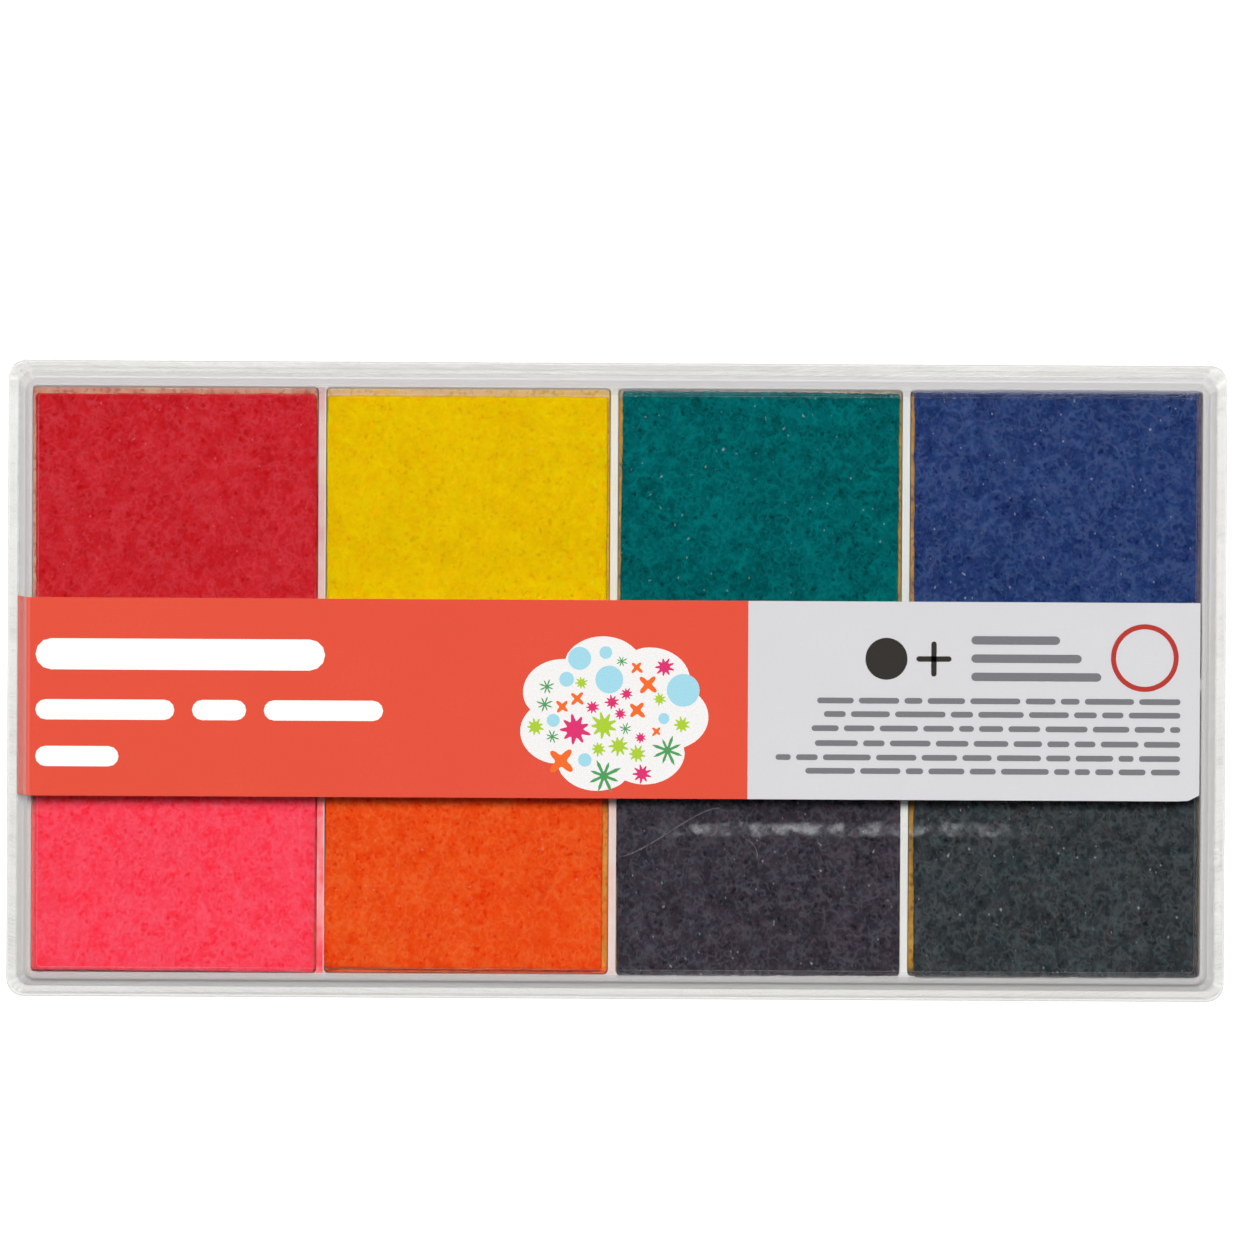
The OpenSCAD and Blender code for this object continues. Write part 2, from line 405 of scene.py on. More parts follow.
def smudged(tree, where, surface):
    """A shader with the faint whitish film of the smudge over it."""
    axes = add(tree, "SeparateXYZ", {"Vector": where})
    slope = (SMUDGE_TO.y - SMUDGE_FROM.y) / (SMUDGE_TO.x - SMUDGE_FROM.x)
    line_y = sums(tree, "MULTIPLY_ADD", axes.outputs["X"], slope, SMUDGE_FROM.y - slope * SMUDGE_FROM.x)
    off = sums(tree, "ABSOLUTE", sums(tree, "SUBTRACT", axes.outputs["Y"], line_y))
    ragged = sums(tree, "MULTIPLY_ADD", noise(tree, where, 1.2 * MM, 3.0), 1.4 * MM, off)
    band = spread(tree, ragged, SMUDGE_HALF, SMUDGE_HALF + 1.2 * MM, 1.0, 0.0)
    starts = spread(tree, axes.outputs["X"], SMUDGE_FROM.x, SMUDGE_FROM.x + 10 * MM)
    stops = spread(tree, axes.outputs["X"], SMUDGE_TO.x - 14 * MM, SMUDGE_TO.x, 1.0, 0.0)
    ends = sums(tree, "MULTIPLY", starts, stops)
    blots = spread(tree, noise(tree, where, 3.2 * MM, 3.0, 0.65), 0.42, 0.66, 0.1, 1.0)
    on_top = sums(tree, "GREATER_THAN", axes.outputs["Z"], LID_Z - 0.05 * MM)
    film_on = sums(tree, "MULTIPLY", blots, on_top)
    smudge = sums(tree, "MULTIPLY", sums(tree, "MULTIPLY", band, ends), film_on)
    film = add(tree, "BsdfDiffuse", {"Color": (0.9, 0.92, 0.95, 1)}).outputs[0]
    share = sums(tree, "MULTIPLY", smudge, SMUDGE_SHARE)
    return add(tree, "MixShader", {0: share, 1: surface, 2: film}).outputs[0]


def paper_material(name, shade, thin=0.0):
    """Glossy printed paper. `thin` is how much light comes through it."""
    material, tree, shader = new_material("paper " + name)
    base = srgb(shade)
    where = place(tree)
    cloud = spread(tree, noise(tree, where, 12 * MM, 3.0), 0.3, 0.7)
    grain = spread(tree, noise(tree, where, 0.25 * MM, 3.0), 0.3, 0.7, 0.0, 0.5)
    ground = mixed(tree, cloud, scaled(base, 0.985), scaled(base, 1.01))
    tree.links.new(mixed(tree, grain, ground, scaled(base, 0.96)), shader.inputs["Base Color"])
    tree.links.new(spread(tree, grain, 0.0, 0.5, 0.14, 0.22), shader.inputs["Roughness"])
    waves = noise(tree, where, 6 * MM, 2.0)
    tree.links.new(bump(tree, waves, 0.05 * MM, 0.3), shader.inputs["Normal"])
    if thin:
        glow = add(tree, "BsdfTranslucent", {"Color": base}).outputs[0]
        surface = add(tree, "MixShader", {0: thin, 1: shader.outputs[0], 2: glow}).outputs[0]
        tree.links.new(surface, tree.nodes["Material Output"].inputs["Surface"])
    return material


def ink_material(name, shade):
    """Print on the label, with the slight unevenness of offset ink."""
    material, tree, shader = new_material("print " + name)
    base = srgb(shade)
    where = place(tree)
    dots = spread(tree, noise(tree, where, 0.18 * MM, 2.0), 0.35, 0.65)
    ink = mixed(tree, dots, scaled(base, 0.93), scaled(base, 1.04))
    tree.links.new(ink, shader.inputs["Base Color"])
    tree.links.new(spread(tree, dots, 0.0, 1.0, 0.3, 0.4), shader.inputs["Roughness"])
    return material


def lint_material():
    """Pale stray hairs."""
    material, tree, shader = new_material("lint")
    tint = spread(tree, noise(tree, place(tree), 1.0 * MM, 2.0), 0.3, 0.7)
    tree.links.new(mixed(tree, tint, srgb("6f6169"), srgb("a79fa5")), shader.inputs["Base Color"])
    shader.inputs["Roughness"].default_value = 0.6
    return material


# ---------------------------------------------------------------- mesh helpers


def new_piece(name, points, faces, materials, smooth=True):
    """A mesh object of these points and faces."""
    mesh = bpy.data.meshes.new(name)
    mesh.from_pydata([tuple(p) for p in points], [], [tuple(int(i) for i in f) for f in faces])
    for material in materials:
        mesh.materials.append(material)
    mesh.polygons.foreach_set("use_smooth", [smooth] * len(mesh.polygons))
    made = bpy.data.objects.new(name, mesh)
    bpy.context.scene.collection.objects.link(made)
    return made


def face_outwards(piece):
    """Turns a closed mesh's faces outwards."""
    mesh = bmesh.new()
    mesh.from_mesh(piece.data)
    bmesh.ops.recalc_face_normals(mesh, faces=mesh.faces)
    mesh.to_mesh(piece.data)
    mesh.free()


def round_outline(half, radius, steps):
    """Points round a rectangle with round corners, anticlockwise from above."""
    points = []
    for k, (sx, sy) in enumerate(((1, 1), (-1, 1), (-1, -1), (1, -1))):
        for j in range(steps + 1):
            turn = math.radians(90 * (k + j / steps))
            points.append(
                (
                    sx * (half.x - radius) + radius * math.cos(turn),
                    sy * (half.y - radius) + radius * math.sin(turn),
                )
            )
    return points


def arc(middle, radius, start, end, steps):
    """Points (distance in, height) round a middle. 0 degrees points outwards, 90 up."""
    turns = [math.radians(start + (end - start) * k / steps) for k in range(steps + 1)]
    return [(middle[0] - radius * math.cos(t), middle[1] + radius * math.sin(t)) for t in turns]


def ring_faces(rings, count):
    """Four-sided faces between rings of `count` points each, one after another."""
    faces = []
    for start in range(0, (rings - 1) * count, count):
        for j in range(count):
            n = (j + 1) % count
            faces.append((start + j, start + n, start + count + n, start + count + j))
    return faces


def tube(path, radius, sides=5):
    """Points and faces of a thin tube along a path, closed at both ends."""
    path = np.asarray(path, float)
    along = np.gradient(path, axis=0)
    along /= np.linalg.norm(along, axis=1)[:, None]
    side = np.cross(along, (0.03, 0.05, 1.0))
    side /= np.linalg.norm(side, axis=1)[:, None]
    lift = np.cross(side, along)
    turn = np.arange(sides) * 2 * math.pi / sides
    ring = side[:, None] * np.cos(turn)[None, :, None] + lift[:, None] * np.sin(turn)[None, :, None]
    taper = np.sqrt(np.clip(1 - np.linspace(-1, 1, len(path)) ** 8, 0.05, 1))
    points = (path[:, None] + ring * radius * taper[:, None, None]).reshape(-1, 3)
    faces = ring_faces(len(path), sides)
    faces.append(tuple(range(sides))[::-1])
    faces.append(tuple((len(path) - 1) * sides + j for j in range(sides)))
    return points, faces


# ---------------------------------------------------------------- lid

LEAN = math.degrees(math.atan2(DRAFT_W, LID_Z - FLANGE_Z))
TURN = 90 - LEAN
EDGE_IN = EDGE_R * math.tan(math.radians(TURN / 2))
ARC_STEPS = 12


def middle_profile(grow=0.0, steps=10):
    """The raised middle's side and upper edge, as (distance in, height), from the foot up."""
    centre = (FLANGE_W + DRAFT_W + EDGE_IN, LID_Z - EDGE_R)
    return arc(centre, EDGE_R + grow, LEAN, 90, steps)


def lid_profile():
    """The lid's section from the middle of its top, down outside and up inside.
    Each point is (distance in, height, corner radius)."""
    foot_r, rim_r, sharp_r, inner_r = 0.6 * MM, 0.35 * MM, 0.12 * MM, 0.4 * MM
    foot_in = foot_r * math.tan(math.radians(TURN / 2))
    cavity_in = RIM_W - LIP_T - SNUG
    ceiling_in = FLANGE_W + DRAFT_W + LID_T
    step_z = LIP_Z + LID_GAP
    cavity_r = CELL_R + LIP_T + SNUG
    hold = 0.15 * MM

    edge = middle_profile()
    top = [(edge[-1][0] + hold, LID_Z, TOP_R)] + [(i, z, TOP_R) for i, z in reversed(edge)]
    foot = arc((FLANGE_W - foot_in, FLANGE_Z + foot_r), foot_r, 180 + LEAN, 270, 5)
    outer = top + [(i, z, MIDDLE_R) for i, z in foot]
    outer += [(FLANGE_W - foot_in - hold, FLANGE_Z, MIDDLE_R)]
    outer += [(rim_r + hold, FLANGE_Z, CORNER_R)]
    outer += [(i, z, CORNER_R) for i, z in arc((rim_r, FLANGE_Z - rim_r), rim_r, 90, 0, 5)]
    outer += [(i, z, CORNER_R) for i, z in arc((sharp_r, LEDGE_Z + sharp_r), sharp_r, 0, -90, 3)]
    outer += [(sharp_r + hold, LEDGE_Z, CORNER_R)]
    inner = [(cavity_in - 2 * sharp_r, LEDGE_Z, cavity_r)]
    inner += [(cavity_in - sharp_r, LEDGE_Z, cavity_r), (cavity_in, LEDGE_Z + sharp_r, cavity_r)]
    inner += [(cavity_in, step_z - hold, cavity_r), (cavity_in, step_z, cavity_r)]
    # The inner side leans to the ceiling, and meets it in a hollow curve.
    lean_in = math.degrees(math.atan2(ceiling_in - cavity_in, CEILING_Z - step_z))
    inner_in = inner_r * math.tan(math.radians((90 - lean_in) / 2))
    curve = arc((ceiling_in + inner_in, CEILING_Z - inner_r), inner_r, lean_in, 90, 6)
    inner += [(i, z, CELL_R) for i, z in curve]
    inner += [(ceiling_in + inner_in + hold, CEILING_Z, CELL_R)]
    return outer + inner


def make_lid(material):
    """The clear lid as one closed shell, with the small radii of a moulding."""
    profile = lid_profile()
    count = 4 * (ARC_STEPS + 1)
    points = []
    for inset, height, radius in profile:
        half = CASE_HALF - Vector((inset, inset))
        points += [(x, y, height) for x, y in round_outline(half, radius, ARC_STEPS)]
    faces = ring_faces(len(profile), count)
    faces.append(tuple(range(count)))
    faces.append(tuple((len(profile) - 1) * count + j for j in range(count))[::-1])
    lid = new_piece("lid_shell", points, faces, [material])
    face_outwards(lid)
    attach(lid, "cover")
    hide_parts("lid")


# ---------------------------------------------------------------- label

# Where the red print gives way to pale grey, and the clipped corner.
RED_END_X = 19.4 * MM
CLIP = Vector((1.8, 0.9)) * MM
# How far the paper's underside is off the lid.
LIFT = 0.015 * MM


def label_path():
    """The label's course over the lid as (x, z) on its underside, from the foot of the lid's
    left side to the label's right end, with the outward direction at each point."""
    lean = math.radians(LEAN)
    side = Vector((-math.cos(lean), math.sin(lean)))
    foot = Vector((FLANGE_W - CASE_HALF.x, FLANGE_Z))
    edge = [Vector((i - CASE_HALF.x, z)) for i, z in middle_profile(steps=12)]
    turns = [math.radians(LEAN + TURN * k / 12) for k in range(13)]
    course = [(foot + (edge[0] - foot) * k / 6, side) for k in range(1, 6)]
    # The fold starts a hair above the flange's fillet.
    course = [(foot + (edge[0] - foot) * 0.07, side)] + course
    course += [(p, Vector((-math.cos(t), math.sin(t)))) for p, t in zip(edge, turns)]
    flat = np.linspace(edge[-1].x, RED_END_X, 60)[1:]
    flat = list(flat) + list(np.linspace(RED_END_X, LABEL_HIGH.x, 42)[1:])
    course += [(Vector((x, LID_Z)), Vector((0, 1))) for x in flat]
    return course


def make_label(red, grey, edge):
    """The paper strip: a thin closed sheet, printed red and grey, with a trace of waviness."""
    rng = np.random.default_rng(7)
    course = label_path()
    across = np.linspace(LABEL_LOW.y, LABEL_HIGH.y, 25)
    middle = (LABEL_LOW.y + LABEL_HIGH.y) / 2
    half = (LABEL_HIGH.y - LABEL_LOW.y) / 2
    wobble = rng.random(2) * 2 * math.pi
    points = {}
    coordinates = []
    for layer, lift in enumerate((LIFT, LABEL_T)):
        for i, (p, out) in enumerate(course):
            for j, y in enumerate(across):
                near_edge = ((y - middle) / half) ** 6
                ripple = 0.012 * MM * (1 + math.sin(p.x * 190 + wobble[int(y > middle)]))
                rise = lift + near_edge * ripple
                spot = p + out * rise
                # The clipped corner pulls the near right end in along a slant.
                y_here = y
                reach = LABEL_HIGH.x - p.x
                if reach < CLIP.x:
                    y_here = max(y, LABEL_LOW.y + CLIP.y * (1 - reach / CLIP.x))
                points[layer, i, j] = len(coordinates)
                coordinates.append((spot.x, y_here, spot.y))
    faces, slots = [], []
    rows, columns = len(course), len(across)
    for i in range(rows - 1):
        slot = 0 if course[i][0].x < RED_END_X - 0.01 * MM else 1
        for j in range(columns - 1):
            for layer in (0, 1):
                around = ((i, j), (i + 1, j), (i + 1, j + 1), (i, j + 1))
                quad = [points[(layer, *at)] for at in around]
                faces.append(quad if layer else quad[::-1])
                slots.append(slot if layer else 2)
    border = [(i, 0) for i in range(rows)] + [(rows - 1, j) for j in range(1, columns)]
    border += [(i, columns - 1) for i in range(rows - 2, -1, -1)]
    border += [(0, j) for j in range(columns - 2, 0, -1)]
    for a, b in zip(border, border[1:] + border[:1]):
        faces.append([points[(0, *a)], points[(0, *b)], points[(1, *b)], points[(1, *a)]])
        slots.append(2)
    label = new_piece("label_strip", coordinates, faces, [red, grey, edge])
    label.data.polygons.foreach_set("material_index", slots)
    label.data.set_sharp_from_angle(angle=math.radians(40))
    face_outwards(label)
    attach(label, "cover")
    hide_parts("label")


# ---------------------------------------------------------------- print

PRINT_T = 0.02 * MM
LABEL_MIDDLE_Y = (LABEL_LOW.y + LABEL_HIGH.y) / 2
PRINT_Z = LABEL_HIGH.z


def disc_outline(x, y, radius, steps=36):
    """A circle's points, in millimetres."""
    return [
        (x + radius * math.cos(2 * math.pi * k / steps), y + radius * math.sin(2 * math.pi * k / steps))
        for k in range(steps)
    ]


def bar_outline(left, right, y, height, steps=6):
    """A bar with round ends."""
    r = min(height, right - left) / 2
    ends = []
    for middle, start in ((right - r, -90), (left + r, 90)):
        for k in range(steps + 1):
            t = math.radians(start + 180 * k / steps)
            ends.append((middle + r * math.cos(t), y + height / 2 * math.sin(t)))
    return ends


def splash_outline(x, y, radius, spikes, depth, rng, steps=10):
    """A paint splash: a disc with round-tipped arms of uneven length."""
    reach = rng.uniform(0.65, 1.0, spikes)
    points = []
    for k in range(spikes * steps):
        arm, part = divmod(k, steps)
        swell = (0.5 - 0.5 * math.cos(2 * math.pi * part / steps)) ** 1.6
        r = radius * (1 - depth + depth * swell * reach[arm])
        t = 2 * math.pi * (k + 0.4 * reach[arm]) / (spikes * steps)
        points.append((x + r * math.cos(t), y + r * math.sin(t)))
    return points


def cloud_outline(x, y, wide, high, lobes, rng, steps=14):
    """A soft cloud-like patch."""
    lean = rng.uniform(0, 6.28)
    points = []
    for k in range(lobes * steps):
        t = 2 * math.pi * k / (lobes * steps)
        swell = abs(math.sin(lobes * t / 2 + lean)) ** 0.7
        r = 0.84 + 0.16 * swell
        points.append((x + wide * r * math.cos(t), y + high * r * math.sin(t)))
    return points


class Print:
    """Thin printed shapes of one colour, gathered into one piece."""

    def __init__(self, name, material, layer=0):
        self.name, self.material = name, material
        self.low = PRINT_Z + layer * PRINT_T
        self.points, self.faces = [], []

    def shape(self, outline):
        """One filled shape. x is in millimetres from the case's middle, y from the label's."""
        start, count = len(self.points), len(outline)
        for height in (self.low, self.low + PRINT_T):
            self.points += [(x * MM, LABEL_MIDDLE_Y + y * MM, height) for x, y in outline]
        self.faces.append([start + count + k for k in range(count)])
        self.faces.append([start + k for k in reversed(range(count))])
        for k in range(count):
            n = (k + 1) % count
            self.faces.append([start + k, start + n, start + count + n, start + count + k])

    def ring(self, x, y, outer, inner, steps=64):
        """A flat ring."""
        start = len(self.points)
        for height in (self.low, self.low + PRINT_T):
            for radius in (outer, inner):
                circle = disc_outline(x, y, radius, steps)
                self.points += [(px * MM, LABEL_MIDDLE_Y + py * MM, height) for px, py in circle]
        for k in range(steps):
            n = (k + 1) % steps
            corners = [(a * steps + k, a * steps + n) for a in range(4)]
            for a, b in ((2, 3), (3, 1), (1, 0), (0, 2)):
                quad = [corners[a][0], corners[a][1], corners[b][1], corners[b][0]]
                self.faces.append([start + i for i in quad])

    def done(self):
        """Makes the piece, on the lid's body."""
        piece = new_piece(self.name, self.points, self.faces, [self.material], smooth=False)
        face_outwards(piece)
        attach(piece, "cover")


# Title bars at the red end: left, right, middle height and thickness.
TITLE_BARS = ((-85.7, -43, 6.3, 4.6), (-85.7, -65.2, -1.9, 3), (-62.6, -54.6, -1.9, 3),
              (-52, -34.4, -1.9, 3), (-85.7, -73.4, -8.8, 3))
# Right-aligned small lines at the grey end: left end, middle height.
SMALL_LINES = ((29.6, 0), (30.6, -2), (28.8, -4.1), (29.3, -6.3), (23.5, -8.4), (27.9, -10.4))
SMALL_RIGHT = 83.2
MEDIUM_LINES = ((52.3, 65.4, 9), (52.3, 68.6, 6.3), (52.3, 71.5, 3.6))


# The dark disc, the cross beside it and the red ring: middle, then radii or half length and thickness.
DISC, DISC_R = (39.8, 6.2), 3.1
CROSS, CROSS_HALF, CROSS_T = (46.8, 6.2), 2.6, 0.8
RING, RING_OUTER, RING_INNER = (77.9, 6.5), 5, 4.25
# The white patch on the red end, by its middle and half sizes.
PATCH, PATCH_HALF = (-0.6, -2.2), (14.2, 11.6)
# The most spots on it, and how many times a place for one is tried.
SPOTS = 40
SPOT_TRIES = 6000


def word_bars(left, right, y, height, rng):
    """A line of text as plain bars of word length."""
    bars = []
    x = left
    while x < right:
        end = min(x + rng.uniform(2.2, 7.5), right)
        if right - end < 2:
            end = right
        bars.append(bar_outline(x, end, y, height))
        x = end + 0.75
    return bars


def make_print():
    """All print on the label: plain bars, a splashed patch, a disc, a cross and a ring."""
    rng = np.random.default_rng(21)
    white = Print("print_title", ink_material("white", "fbf8f4"))
    for left, right, y, height in TITLE_BARS:
        white.shape(bar_outline(left, right, y, height))
    white.done()

    patch = Print("print_patch", ink_material("patch", "eceae8"))
    patch.shape(cloud_outline(*PATCH, *PATCH_HALF, 7, rng))
    patch.done()

    grey = Print("print_lines", ink_material("grey", "77777b"))
    for left, y in SMALL_LINES:
        for bar in word_bars(left, SMALL_RIGHT, y, 0.85, rng):
            grey.shape(bar)
    for left, right, y in MEDIUM_LINES:
        grey.shape(bar_outline(left, right, y, 1.25))
    grey.done()

    dark = Print("print_mark", ink_material("dark", "35322f"))
    dark.shape(disc_outline(*DISC, DISC_R))
    level = bar_outline(-CROSS_HALF, CROSS_HALF, 0, CROSS_T)
    upright = [(-y, x) for x, y in level]
    for bar in (level, upright):
        dark.shape([(CROSS[0] + x, CROSS[1] + y) for x, y in bar])
    dark.done()

    ring = Print("print_ring", ink_material("ring", "b23a34"))
    ring.ring(*RING, RING_OUTER, RING_INNER)
    ring.done()
    make_splashes(rng)


def make_splashes(rng):
    """Coloured spots on the white patch."""
    shades = {
        "lime": "a9c938",
        "blue": "9fd3e2",
        "magenta": "d8356f",
        "orange": "ee6b2f",
        "green": "4f9a5b",
    }
    spots = []
    tries = 0
    while len(spots) < SPOTS and tries < SPOT_TRIES:
        tries += 1
        radius = rng.uniform(0.9, 3.1)
        angle, out = rng.uniform(0, 2 * math.pi), math.sqrt(rng.random()) * 0.82
        x = PATCH[0] + PATCH_HALF[0] * out * math.cos(angle)
        y = PATCH[1] + PATCH_HALF[1] * out * math.sin(angle)
        if all(math.hypot(x - a, y - b) > (radius + r) * 0.86 + 0.2 for a, b, r in spots):
            spots.append((x, y, radius))
    for k, (name, shade) in enumerate(shades.items()):
        spray = Print("print_splash_" + name, ink_material(name, shade), layer=1)
        for x, y, radius in spots[k :: len(shades)]:
            if name == "blue":
                spray.shape(disc_outline(x, y, radius * 0.85, 28))
            elif name == "orange":
                spray.shape(splash_outline(x, y, radius, 4, 0.65, rng))
            elif name == "green":
                spray.shape(splash_outline(x, y, radius, 8, 0.8, rng, 6))
            else:
                spray.shape(splash_outline(x, y, radius, 9, 0.5, rng, 8))
        spray.done()


# ---------------------------------------------------------------- felts

FELT_CORNER_R = 0.6 * MM
# Radius of the felts' worn upper edges.
SHOULDER = 0.18 * MM
# A felt's top is this many squares a side, with strokes of fibre pressed into it.
FELT_GRID = 220
STROKES = 6500
# Loose fibres lying on each felt.
FUZZ = 260


def soft_noise(samples, cell, rng):
    """A square of noise in 0..1 that changes over about `cell` samples."""
    coarse = rng.random((int(samples / cell) + 3,) * 2)
    at = np.arange(samples) / cell
    low = at.astype(int)
    part = at - low
    part = part * part * (3 - 2 * part)
    rows = coarse[low] * (1 - part)[:, None] + coarse[low + 1] * part[:, None]
    return rows[:, low] * (1 - part) + rows[:, low + 1] * part


def stroke_map(samples, step, rng):
    """Short curved fibres drawn at random, as a square of heights in 0..1."""
    t = np.linspace(-0.5, 0.5, 15)
    length = rng.uniform(0.7, 2.2, STROKES)[:, None] * MM
    heading = rng.uniform(0, 2 * math.pi, STROKES)[:, None] + rng.normal(0, 1.3, STROKES)[:, None] * t
    middle = rng.uniform(0, samples * step, (2, STROKES))
    stride = length / len(t)
    x = middle[0][:, None] + np.cumsum(np.cos(heading), 1) * stride
    y = middle[1][:, None] + np.cumsum(np.sin(heading), 1) * stride
    height = rng.uniform(0.2, 1.0, STROKES)[:, None] * (1 - (2 * t) ** 4)
    field = np.zeros((samples, samples))
    np.maximum.at(field, ((y / step).astype(int) % samples, (x / step).astype(int) % samples), height)
    around = sum(np.roll(field, s, axis=a) for s in (-1, 1) for a in (0, 1))
    return field * 0.6 + around * 0.1


def felt_turn(node):
    """How far a CAD felt is turned about Z, from its long straight edges."""
    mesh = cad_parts[node].data
    turns = []
    for edge in mesh.edges:
        a, b = (mesh.vertices[i].co for i in edge.vertices)
        run = b - a if b.x > a.x else a - b
        if run.x > 35 * MM and abs(run.y) < 3 * MM and abs(run.z) < 0.01 * MM:
            turns.append(math.atan2(run.y, run.x))
    return float(np.median(turns)) if turns else 0.0


def make_felt(colour, material, seed):
    """A cut square of felt: fibrous top, rounded and slightly ragged edge, loose fibres."""
    node = "felt_" + colour
    low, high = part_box(node)
    turn = felt_turn(node)
    side = (high.x - low.x) / (abs(math.cos(turn)) + abs(math.sin(turn)))
    half = side / 2
    rng = np.random.default_rng(seed)
    samples = FELT_GRID + 1
    step = side / FELT_GRID
    strokes = stroke_map(samples, step, rng)
    swell = soft_noise(samples, 9, rng)
    fine = soft_noise(samples, 3, rng)
    broad = soft_noise(samples, 60, rng)
    rise = MM * (0.09 * strokes + 0.1 * (swell - 0.5) + 0.06 * (fine - 0.5) + 0.12 * (broad - 0.5))
    tone = np.clip(0.45 * strokes + 0.35 * fine + 0.2 * swell, 0, 1)

    at = np.linspace(-half, half, samples)
    x, y = np.meshgrid(at, at)
    from_edge = half - np.maximum(abs(x), abs(y))
    # Each corner block of the grid is drawn in to a quarter circle.
    qx = np.clip(abs(x) - (half - FELT_CORNER_R), 0, None)
    qy = np.clip(abs(y) - (half - FELT_CORNER_R), 0, None)
    long = np.hypot(qx, qy)
    pull = np.where(long > 0, np.maximum(qx, qy) / np.where(long > 0, long, 1), 1.0)
    in_corner = (qx > 0) & (qy > 0)
    px = np.where(in_corner, np.sign(x) * (half - FELT_CORNER_R + qx * pull), x)
    py = np.where(in_corner, np.sign(y) * (half - FELT_CORNER_R + qy * pull), y)
    # The cut edge wanders, more at its foot than at its top.
    ragged = (soft_noise(samples, 14, rng) - 0.6) * 0.14 * MM
    ragged += (soft_noise(samples, 3, rng) - 0.5) * 0.1 * MM
    near = np.clip(1 - from_edge / (1.2 * MM), 0, 1) ** 2
    grow = 1 + ragged * near / half
    px, py = px * grow, py * grow
    inward = np.clip(SHOULDER - from_edge, 0, SHOULDER)
    drop = SHOULDER - np.sqrt(np.maximum(SHOULDER**2 - inward**2, 0))
    z = high.z - 0.05 * MM + rise * np.clip(from_edge / SHOULDER, 0.25, 1) - drop

    points = [np.stack([px, py, z], -1).reshape(-1, 3)]
    tones = [tone.reshape(-1)]
    index = np.arange(samples * samples).reshape(samples, samples)
    cells = [index[:-1, :-1], index[:-1, 1:], index[1:, 1:], index[1:, :-1]]
    quads = [np.stack(cells, -1).reshape(-1, 4)]
    rim = np.concatenate([index[0, :-1], index[:-1, -1], index[-1, :0:-1], index[:0:-1, 0]])
    rim_points = points[0][rim]
    upper = rim
    total = samples * samples
    levels = 5
    for level in range(1, levels + 1):
        part = level / levels
        ring = rim_points.copy()
        ring[:, :2] *= 1 + (rng.random(len(rim)) - 0.5)[:, None] * 0.07 * MM / half
        ring[:, 2] = rim_points[:, 2] * (1 - part) + low.z * part
        lower = np.arange(total, total + len(rim))
        quads.append(np.stack([upper, lower, np.roll(lower, -1), np.roll(upper, -1)], -1))
        points.append(ring)
        tones.append(np.full(len(rim), 0.3))
        total += len(rim)
        upper = lower
    faces = [tuple(q) for q in np.concatenate(quads).tolist()]
    faces.append(tuple(int(i) for i in upper[::-1]))

    for _ in range(FUZZ):
        path, radius = loose_fibre(half, z, at, rng)
        tube_points, tube_faces = tube(path, radius, 4)
        faces += [tuple(i + total for i in f) for f in tube_faces]
        points.append(tube_points)
        tones.append(np.full(len(tube_points), rng.uniform(0.7, 1.0)))
        total += len(tube_points)

    points = np.concatenate(points)
    c, s = math.cos(turn), math.sin(turn)
    middle = (low + high) / 2
    world = np.column_stack(
        [
            middle.x + c * points[:, 0] - s * points[:, 1],
            middle.y + s * points[:, 0] + c * points[:, 1],
            points[:, 2],
        ]
    )
    felt = new_piece("pad_" + colour, world, faces, [material])
    attribute = felt.data.attributes.new("tone", "FLOAT", "POINT")
    attribute.data.foreach_set("value", np.concatenate(tones).astype(np.float32))
    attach(felt, "base")
    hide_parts(node)


def loose_fibre(half, surface, at, rng):
    """One loose fibre lying on the felt, as a path and a radius."""
    length = rng.uniform(0.8, 2.6) * MM
    t = np.linspace(-0.5, 0.5, 8)
    heading = rng.uniform(0, 2 * math.pi) + rng.normal(0, 1.4) * t
    x = np.cumsum(np.cos(heading)) * length / len(t)
    y = np.cumsum(np.sin(heading)) * length / len(t)
    inner = half - 0.25 * MM
    x = np.clip(x - x.mean() + rng.uniform(-inner, inner), -inner, inner) + 1e-6 * t
    y = np.clip(y - y.mean() + rng.uniform(-inner, inner), -inner, inner) + 1e-6 * t[::-1]
    i = np.clip(np.searchsorted(at, x), 0, len(at) - 1)
    j = np.clip(np.searchsorted(at, y), 0, len(at) - 1)
    lift = (0.03 + 0.05 * rng.random() * (1 - (2 * t) ** 2)) * MM
    return np.column_stack([x, y, surface[j, i] + lift]), rng.uniform(0.018, 0.032) * MM


# ---------------------------------------------------------------- tray and boards


def make_tray():
    """The tray keeps its CAD shape, with moulded edges."""
    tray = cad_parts["tray"]
    soften(tray, 0.14 * MM)
    dress(tray, tray_material())


def soften(piece, width):
    """Rounds a CAD node's sharp edges."""
    bevel = piece.modifiers.new("moulded edges", "BEVEL")
    bevel.width = width
    bevel.segments = 2
    bevel.limit_method = "ANGLE"
    bevel.angle_limit = math.radians(40)
    bevel.harden_normals = False


def dress(piece, material):
    """Gives a CAD node its material."""
    piece.data.materials.clear()
    piece.data.materials.append(material)


def make_backings():
    """The boards keep their CAD shape."""
    for colour, shade in FELTS.items():
        dress(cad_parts["backing_" + colour], backing_material(colour, shade))


# ---------------------------------------------------------------- lint

# Stray hairs lying on the felts: points (x, y) in millimetres.
HAIRS = (
    ((0.4, -25.9), (3.6, -24.7), (8.5, -22), (12, -19.6), (15.5, -18.6)),
    ((19.2, -23.2), (20.6, -24.4), (20.9, -26.2)),
)
HAIR_R = 0.032 * MM


